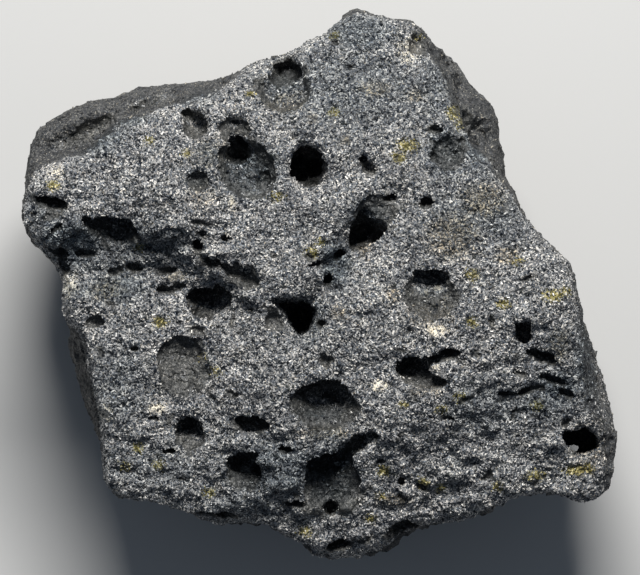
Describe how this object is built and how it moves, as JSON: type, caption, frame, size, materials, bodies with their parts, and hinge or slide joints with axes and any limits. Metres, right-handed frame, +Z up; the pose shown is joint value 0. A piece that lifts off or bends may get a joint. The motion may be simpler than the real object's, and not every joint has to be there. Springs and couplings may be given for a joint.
{
  "type": "vesicular basalt",
  "caption": "Fist-sized broken piece of dark vesicular basalt with gas holes, ledges and lower shoulders, lying on a flat fracture.",
  "frame": {"origin": "middle of the bounding box's bottom, on the flat fracture that the rock rests on", "axes": "+Z up from the resting face to the broken face, +X along the longest side, +Y across"},
  "size_m": [0.08, 0.0734, 0.038],
  "materials": {
    "basalt": "rough crystalline broken basalt: blue-grey to black ground, pale feldspar specks, scattered yellow-green olivine grains, duller lining in the gas holes"
  },
  "bodies": {
    "root": {"basalt": "basalt"}
  },
  "joints": []
}
